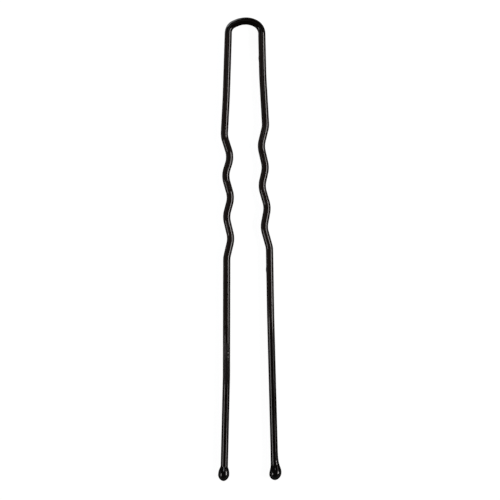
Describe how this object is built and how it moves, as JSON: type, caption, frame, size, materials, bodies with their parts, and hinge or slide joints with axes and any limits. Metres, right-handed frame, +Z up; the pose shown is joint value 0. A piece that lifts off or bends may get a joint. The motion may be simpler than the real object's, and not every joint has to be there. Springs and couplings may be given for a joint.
{
  "type": "hair pin",
  "caption": "Slim U-shaped wire hair pin: an arched crown joins two springy legs with inward crimps that grip the hair and rounded bead tips that spare the scalp.",
  "frame": {"origin": "middle of the pin's outline, on the surface that it lies on", "axes": "+Y from the bead tips to the crown, +X to the right leg seen from above with the crown away, +Z up from the surface"},
  "size_m": [0.01, 0.075, 0.0018],
  "materials": {
    "steel": "drawn",
    "enamel": "gloss",
    "resin": "gloss"
  },
  "bodies": {
    "crown": {"spring_wire": "steel", "crown_enamel": "enamel"},
    "left_leg": {"left_leg_enamel": "enamel", "left_tip": "resin"},
    "right_leg": {"right_leg_enamel": "enamel", "right_tip": "resin"}
  },
  "joints": [
    {"name": "left_leg_flex", "type": "hinge", "parent": "crown", "child": "left_leg", "pos_m": [-0.00383, 0.02404, 0.00092], "axis": [0, 0, 1], "range_deg": [-6, 3], "stiffness_Nm_per_rad": 0.18, "deforming": ["spring_wire"]},
    {"name": "right_leg_flex", "type": "hinge", "parent": "crown", "child": "right_leg", "pos_m": [0.00234, 0.02404, 0.00092], "axis": [0, 0, -1], "range_deg": [-6, 3], "stiffness_Nm_per_rad": 0.18, "deforming": ["spring_wire"]}
  ]
}
